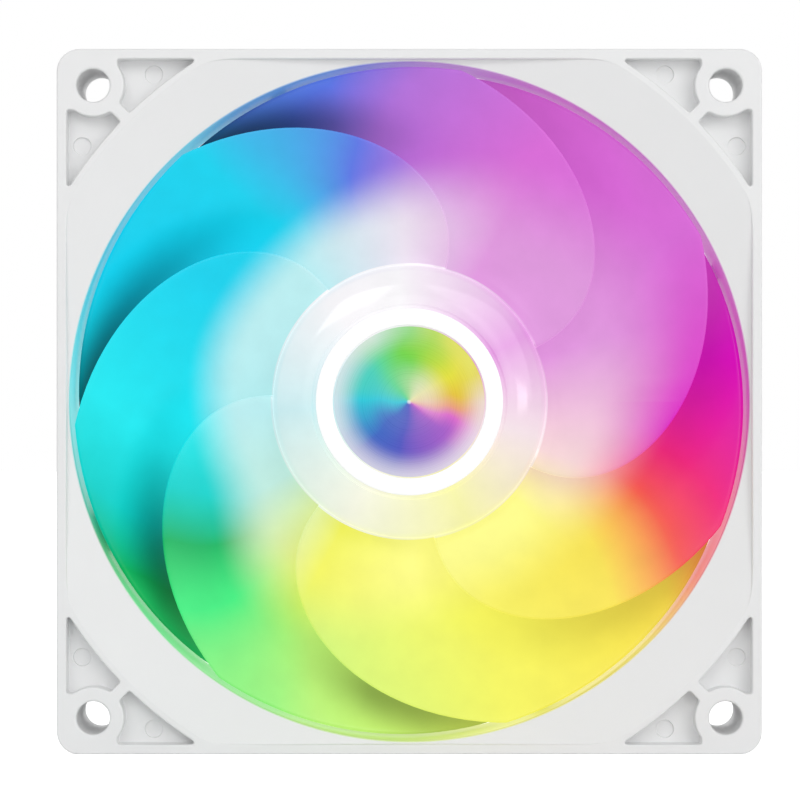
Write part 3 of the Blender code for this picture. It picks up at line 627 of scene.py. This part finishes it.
plate_low, insert_radius, insert_high = 0.01195, 0.0029, 0.0131
around_hub = 224


def step_up(share):
    """A share from 0 to 1 that starts and ends level."""
    share = np.clip(share, 0, 1)
    return share * share * (3 - 2 * share)


def edge_heights(span):
    """Heights of the blade's front edge, which rises over the inner span, and of its rear edge, which sinks."""
    lead = lead_root + (lead_tip - lead_root) * step_up(span / lead_level_from)
    return lead, trail_root + (trail_tip - trail_root) * span


def middle_surface(span, chord, turn):
    """The blade's middle surface: swept with the square of the span, sinking from front edge to rear edge."""
    radius = blade_root + (blade_tip - blade_root) * span
    cover = 1.0 - tip_open * step_up((span - tip_open_from) / (1 - tip_open_from))
    angle = np.radians(tip_turn - sweep * (1 - span**2) + chord * cover * 360 / blade_count + turn)
    lead, trail = edge_heights(span)
    height = lead + (trail - lead) * (even_fall * chord + late_fall * chord**2)
    return np.stack([radius * np.cos(angle), rear - height, radius * np.sin(angle)], -1)


def blade(turn, spans=44, around=96):
    """A closed blade: the middle surface thickened along its normal by a blunt oval round the chord."""
    span = np.concatenate([[0, 0.002], np.linspace(0.012, 0.985, spans), [0.993, 0.998, 1.0]])[:, None]
    taper = np.concatenate([[0, 1], np.ones(spans), [0.9, 0.6, 0]])[:, None]
    way = np.linspace(0, 2 * np.pi, around, endpoint=False)[None, :]
    chord = (1 - np.cos(way)) / 2
    small = 1e-4
    along = middle_surface(span + small, chord, turn) - middle_surface(span - small, chord, turn)
    over = middle_surface(span, chord + small, turn) - middle_surface(span, chord - small, turn)
    normal = np.cross(along, over)
    normal /= np.linalg.norm(normal, axis=-1, keepdims=True)
    radius = blade_root + (blade_tip - blade_root) * span
    fillet = fillet_thick * np.exp(-(radius - hub_radius) / fillet_reach)
    thick = np.minimum(root_thick + (tip_thick - root_thick) * span + fillet, most_thick) * taper
    thick = thick * (thin_share + (1 - thin_share) * np.sin(np.pi * chord))
    half_way = thick / 2 * np.sign(np.sin(way)) * np.abs(np.sin(way)) ** bluntness
    points = middle_surface(span, chord, turn) + normal * half_way[..., None]
    return points.reshape(-1, 3), band(len(span), around)[:, ::-1]


lean = np.radians(np.linspace(6, 90, 25))
shoulder = list(zip(ring_radius + (hub_radius - ring_radius) * np.sin(lean),
                    shoulder_foot + (hub_land + shoulder_rise - shoulder_foot) * np.cos(lean)))
land_end = shoulder[0][0] - land_step
hub_inside = hub_radius - hub_wall
hub = turned([
    (0, hub_land), (0.006, hub_land), (land_end - 0.00015, hub_land), (land_end, hub_land + land_step), *shoulder,
    (hub_radius, 0.008), (hub_radius, rotor_rear + hub_edge), (hub_radius - hub_edge, rotor_rear),
    (hub_inside + hub_edge, rotor_rear), (hub_inside, rotor_rear + hub_edge), (hub_inside, collar_high),
    (collar_outer, collar_high), (collar_outer, collar_low), (collar_inner, collar_low), (collar_inner, plate_low),
    (insert_radius, plate_low), (insert_radius, insert_high), (0, insert_high),
][::-1], around_hub)
blades = [blade(index * 360 / blade_count) for index in range(blade_count)]
impeller = joined("lit_impeller", [hub, *blades], facing_out=True)
places = np.empty(len(impeller.data.vertices) * 3, np.float32)
impeller.data.vertices.foreach_get("co", places)
places = places.reshape(-1, 3)
reach = np.hypot(places[:, 0], places[:, 2])
lead_at, trail_at = edge_heights((reach - blade_root) / (blade_tip - blade_root))
fall = np.clip((lead_at - (rear - places[:, 1])) / (lead_at - trail_at), 0, 1)
chord_at = (np.sqrt(even_fall**2 + 4 * late_fall * fall) - even_fall) / (2 * late_fall)
shares = impeller.data.attributes.new("chord", "FLOAT", "POINT")
shares.data.foreach_set("value", np.where(reach > hub_radius + 1e-5, chord_at, 0).astype(np.float32))


def lit_plastic(name, roughness, gloss, pale_stops):
    """Frosted plastic lit from the hub: pale at the root, coloured by direction further out, and given painted shade
    where a blade sinks below the next one near the rim, more in some directions than others. The middle and the breadth
    of the change from pale to coloured are distances from the axis in tenths of a metre."""
    made = bpy.data.materials.new(name)
    made.use_nodes = True
    tree = made.node_tree
    shader = tree.nodes["Principled BSDF"]
    shader.inputs["Specular IOR Level"].default_value = gloss
    out, turn, spot = polar(tree)
    chord = tree.nodes.new("ShaderNodeAttribute")
    chord.attribute_name = "chord"
    chord = chord.outputs["Fac"]
    hue = tree.nodes.new("ShaderNodeGroup")
    hue.node_tree = fan_light
    held_by_chord = 0.03
    tree.links.new(sums(tree, "MULTIPLY", chord, held_by_chord), hue.inputs["Held Back"])
    pale = ramp(tree, pale_stops)
    middle = ramp(tree, [(5, 0.305), (30, 0.35), (52, 0.305), (90, 0.275), (122, 0.257), (146, 0.253), (168, 0.268),
                         (198, 0.25), (212, 0.256), (229, 0.308), (250, 0.30), (272, 0.253), (320, 0.25),
                         (345, 0.285)], grey=True)
    breadth = ramp(tree, [(5, 0.065), (32, 0.085), (62, 0.07), (92, 0.045), (122, 0.032), (205, 0.036), (232, 0.058),
                          (255, 0.06), (278, 0.045), (340, 0.052)], grey=True)
    # Painted shade: how strongly each direction round the axis is darkened where a blade sinks near the rim.
    painted_shade_by_turn = ramp(tree, [(0, 0.25), (45, 0.1), (80, 0.2), (105, 0.92), (160, 0.85), (210, 0.95), (242, 0.15),
                        (262, 0.75), (290, 0.3), (325, 0.25)], grey=True)
    around = whole(tree, turn)
    for stops in (pale, middle, breadth, painted_shade_by_turn):
        tree.links.new(around, stops.inputs[0])
    for soft_stops in (middle, breadth):
        soft_stops.color_ramp.interpolation = "B_SPLINE"
    millimetres = 100
    pale_to = sums(tree, "MULTIPLY", sums(tree, "SUBTRACT", middle.outputs[0], breadth.outputs[0]), millimetres)
    full_from = sums(tree, "MULTIPLY", sums(tree, "ADD", middle.outputs[0], breadth.outputs[0]), millimetres)
    lit = blended(tree, between(tree, out, pale_to, full_from), pale.outputs[0], hue.outputs["Color"])
    # Painted shade: the rear part of each blade's chord is darkened towards the rim.
    sinks_from, rim_from, rim_full = 0.45, 28, 43
    painted_shade = sums(tree, "MULTIPLY", between(tree, chord, sinks_from, 1.0), between(tree, out, rim_from, rim_full))
    keep = sums(tree, "SUBTRACT", 1, sums(tree, "MULTIPLY", painted_shade, painted_shade_by_turn.outputs[0]))
    clear, cloudy, base_share = 0.94, 0.12, 0.3
    cloud = sums(tree, "ADD", clear, sums(tree, "MULTIPLY", noise(tree, spot, 260, 4), cloudy))
    glow = scaled(tree, lit, sums(tree, "MULTIPLY", keep, cloud))
    tree.links.new(scaled(tree, glow, base_share), shader.inputs["Base Color"])
    tree.links.new(glow, shader.inputs["Emission Color"])
    shader.inputs["Emission Strength"].default_value = 0.7
    grain = tree.nodes.new("ShaderNodeGroup")
    grain.node_tree = fine_grain
    grain.inputs["Roughness"].default_value = roughness
    grain.inputs["Grain Scale"].default_value = 3500
    grain.inputs["Grain Depth"].default_value = 0.08
    tree.links.new(grain.outputs["Roughness"], shader.inputs["Roughness"])
    tree.links.new(grain.outputs["Normal"], shader.inputs["Normal"])
    return made


centres = np.empty(len(impeller.data.polygons) * 3, np.float32)
impeller.data.polygons.foreach_get("center", centres)
on_hub = np.hypot(centres[0::3], centres[2::3]) < hub_radius + 0.00005
pink, pale_lilac, pale_aqua, mint = (224, 154, 222), (236, 226, 240), (188, 238, 241), (194, 236, 226)
lemon, pale_lemon, rose = (242, 243, 92), (252, 250, 138), (244, 212, 214)
blade_root_colours = [(18, pink), (62, pink), (92, pale_lilac), (130, pale_aqua), (184, pale_aqua), (211, mint),
                      (242, lemon), (272, pale_lemon), (318, pale_lemon), (340, rose)]
# On the hub the pale stops (white, ice, cream, butter, blush) are painted highlights: broad reflections of the white
# surround on its glossy shoulder, laid over its glow; the pink stop is the glow alone.
white, ice, cream = (246, 244, 247), (202, 236, 240), (248, 249, 230)
butter, blush = (249, 247, 172), (244, 226, 232)
hub_glow_and_painted_reflections = [(30, pink), (95, white), (128, white), (184, ice), (242, cream), (296, butter), (345, blush)]
impeller.data.materials.append(lit_plastic("frosted_blades", 0.26, 0.2, blade_root_colours))
impeller.data.materials.append(lit_plastic("polished_hub", 0.06, 0.5, hub_glow_and_painted_reflections))
impeller.data.polygons.foreach_set("material_index", on_hub.astype(np.int32))
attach(impeller, "rotor")
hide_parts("impeller")


# Hub ring: a glossy white moulded ring pressed into the front of the hub, with a small round on its rim.
# It frames the foil and stands a little proud of the hub's shoulder.
ring_low, ring_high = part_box("hub_ring")
ring_front, ring_back = rear - ring_low[1], rear - ring_high[1]
ring_outer = ring_high[0]
disc_low, disc_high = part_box("hub_disc")
disc_radius = disc_high[0]
disc_gap = 0.00015
ring_inner = disc_radius + disc_gap
ring_profile = eased_profile([(ring_inner, ring_back), (ring_inner, ring_front), (ring_outer, ring_front),
                              (ring_outer, ring_back)], 0.0001, 0.00008)
trim = joined("trim_ring", [turned(ring_profile, around_hub)], 60)
gloss_white = grained("gloss_white", (0.86, 0.86, 0.87), 0.12, mottle=0.02, scale=2500, depth=0.03)
shader = gloss_white.node_tree.nodes["Principled BSDF"]
# Painted glow: a weak white emission keeps the ring bright white all round.
shader.inputs["Emission Color"].default_value = (1, 1, 1, 1)
shader.inputs["Emission Strength"].default_value = 0.2
trim.data.materials.append(gloss_white)
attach(trim, "rotor")
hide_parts("hub_ring")


# Foil disc: a round of holographic foil stuck inside the ring. The full turn of colours that its fine circular grain
# reflects is a painted reflection that glows, and painted highlights pale it towards its edge, near its centre and at a
# bright point in its middle.
disc_front, disc_back = rear - disc_low[1], rear - disc_high[1]
disc_edge = 0.00012
disc_profile = [(0, disc_front), (0.0002, disc_front), (0.004, disc_front), (disc_radius - disc_edge, disc_front),
                (disc_radius - disc_edge / 4, disc_front - disc_edge / 3), (disc_radius, disc_front - disc_edge),
                (disc_radius, disc_back), (0, disc_back)]
foil = joined("foil_disc", [turned(disc_profile, around_hub)])
painted_iridescence = bpy.data.materials.new("foil_painted_iridescence")
painted_iridescence.use_nodes = True
tree = painted_iridescence.node_tree
shader = tree.nodes["Principled BSDF"]
out, turn, spot = polar(tree)
amber, canary, leaf, jade, azure = (234, 198, 48), (232, 228, 50), (112, 216, 66), (90, 218, 150), (22, 204, 222)
cobalt, indigo, violet = (52, 100, 198), (74, 82, 196), (164, 90, 204)
fuchsia, peach = (224, 104, 206), (238, 160, 124)
# Painted reflection: a turn of rainbow colours round the axis, drifting a little with noise.
colours = ramp(tree, [(12, amber), (40, canary), (92, leaf), (125, jade), (176, azure), (222, cobalt), (258, indigo),
                      (310, violet), (332, fuchsia), (351, peach)])
most_drift = 0.14
drift = sums(tree, "MULTIPLY", sums(tree, "SUBTRACT", noise(tree, spot, 170, 1), 0.5), most_drift)
tree.links.new(whole(tree, sums(tree, "ADD", turn, drift)), colours.inputs[0])
# Painted highlights: the foil pales towards its edge and near its centre by amounts given round the axis, and a bright
# point sits at its middle.
edge_share = ramp(tree, [(0, 0.7), (22, 0.12), (70, 0.1), (95, 0.3), (120, 0.75), (215, 0.7), (330, 0.8)], grey=True)
centre_share = ramp(tree, [(0, 0.5), (60, 0.5), (90, 0.35), (130, 0.05), (320, 0.05)], grey=True)
for stops in (edge_share, centre_share):
    tree.links.new(whole(tree, turn), stops.inputs[0])
pale_from, pale_full = disc_radius * 1000 - 3.6, disc_radius * 1000 + 0.4
painted_edge_highlight = sums(tree, "MULTIPLY", edge_share.outputs[0], between(tree, out, pale_from, pale_full))
centre_from, centre_to = 2, 6
near_centre = sums(tree, "SUBTRACT", 1, between(tree, out, centre_from, centre_to))
painted_centre_highlight = sums(tree, "MULTIPLY", centre_share.outputs[0], near_centre)
pip_from, pip_to, pip_share = 0.1, 0.45, 0.8
painted_centre_glint = sums(tree, "MULTIPLY", sums(tree, "SUBTRACT", 1, between(tree, out, pip_from, pip_to)), pip_share)
painted_highlights = sums(tree, "MAXIMUM", sums(tree, "MAXIMUM", painted_edge_highlight, painted_centre_highlight), painted_centre_glint)
shown = blended(tree, painted_highlights, colours.outputs[0], linear(244, 240, 244))
rings = tree.nodes.new("ShaderNodeTexNoise")
rings.noise_dimensions = "1D"
rings.inputs["Scale"].default_value = 9
rings.inputs["Detail"].default_value = 3
tree.links.new(out, rings.inputs["W"])
ringed = rings.outputs["Fac"]
groove_low, groove_swing, base_share = 0.9, 0.2, 0.5
glow = scaled(tree, shown, sums(tree, "ADD", groove_low, sums(tree, "MULTIPLY", ringed, groove_swing)))
tree.links.new(scaled(tree, glow, base_share), shader.inputs["Base Color"])
tree.links.new(glow, shader.inputs["Emission Color"])
shader.inputs["Emission Strength"].default_value = 0.45
shader.inputs["Specular IOR Level"].default_value = 0.3
smoothest, roughness_swing = 0.22, 0.15
roughness = sums(tree, "ADD", smoothest, sums(tree, "MULTIPLY", ringed, roughness_swing))
tree.links.new(roughness, shader.inputs["Roughness"])
foil.data.materials.append(painted_iridescence)
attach(foil, "rotor")
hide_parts("hub_disc")


# Studio: a white table and a white surround, a soft key lamp at the upper right, and two smaller lamps above and
# right of the camera, which show in the gloss of the hub. A weak fill is behind the camera, and two light the rear.
table_half = 2
floor = bpy.data.objects.new("table_top", bpy.data.meshes.new("table_top"))
floor.data.from_pydata([(-table_half, -table_half, -half), (table_half, -table_half, -half),
                        (table_half, table_half, -half), (-table_half, table_half, -half)], [], [(0, 1, 2, 3)])
bpy.context.scene.collection.objects.link(floor)
table = bpy.data.materials.new("white_table")
table.use_nodes = True
tree = table.node_tree
shader = tree.nodes["Principled BSDF"]
shader.inputs["Base Color"].default_value = (0.86, 0.86, 0.86, 1)
shader.inputs["Roughness"].default_value = 0.9
shader.inputs["Specular IOR Level"].default_value = 0.1
shader.inputs["Emission Color"].default_value = (1, 1, 1, 1)
ray = tree.nodes.new("ShaderNodeLightPath")
table_glow = 0.85
tree.links.new(sums(tree, "MULTIPLY", ray.outputs["Is Camera Ray"], table_glow), shader.inputs["Emission Strength"])
floor.data.materials.append(table)

surround = bpy.data.worlds.new("white_surround")
surround.use_nodes = True
tree = surround.node_tree
ray = tree.nodes.new("ShaderNodeLightPath")
seen = sums(tree, "MAXIMUM", ray.outputs["Is Camera Ray"],
            sums(tree, "MAXIMUM", ray.outputs["Is Glossy Ray"], ray.outputs["Is Transmission Ray"]))
tree.nodes["Background"].inputs["Color"].default_value = (1, 1, 1, 1)
ambient = 0.5
strength = sums(tree, "ADD", ambient, sums(tree, "MULTIPLY", seen, 1 - ambient))
tree.links.new(strength, tree.nodes["Background"].inputs["Strength"])
bpy.context.scene.world = surround


def lamp(name, place, size, power):
    """A square soft lamp turned to face the middle of the object."""
    light = bpy.data.lights.new(name, "AREA")
    light.size = size
    light.energy = power
    holder = bpy.data.objects.new(name, light)
    bpy.context.scene.collection.objects.link(holder)
    x, y, z = place
    holder.location = place
    holder.rotation_euler = (math.atan2(math.hypot(x, y), z), 0, math.atan2(x, -y))


lamp("key_lamp", (0.78, -1.50, 0.60), 1.20, 7.4)
lamp("top_lamp", (-0.38, -1.33, 0.66), 0.50, 2.8)
lamp("right_lamp", (0.70, -1.30, -0.10), 0.42, 2.5)
lamp("front_fill_lamp", (0.0, -1.60, 0.02), 1.00, 2.7)
lamp("rear_lamp", (-0.55, 0.90, 0.60), 0.60, 3.4)
lamp("rear_fill_lamp", (0.70, 0.70, 0.15), 0.50, 2.5)

camera = bpy.data.objects.new("camera", bpy.data.cameras.new("camera"))
bpy.context.scene.collection.objects.link(camera)
camera.location = (0, front - 0.5, 0)
camera.rotation_euler = (math.pi / 2, 0, 0)
camera.data.sensor_width = 36
camera.data.lens = 172.6
camera.data.shift_x = -0.01175
camera.data.shift_y = 0.0021
camera.data.clip_start = 0.01
bpy.context.scene.camera = camera
bpy.context.scene.view_settings.view_transform = "Standard"
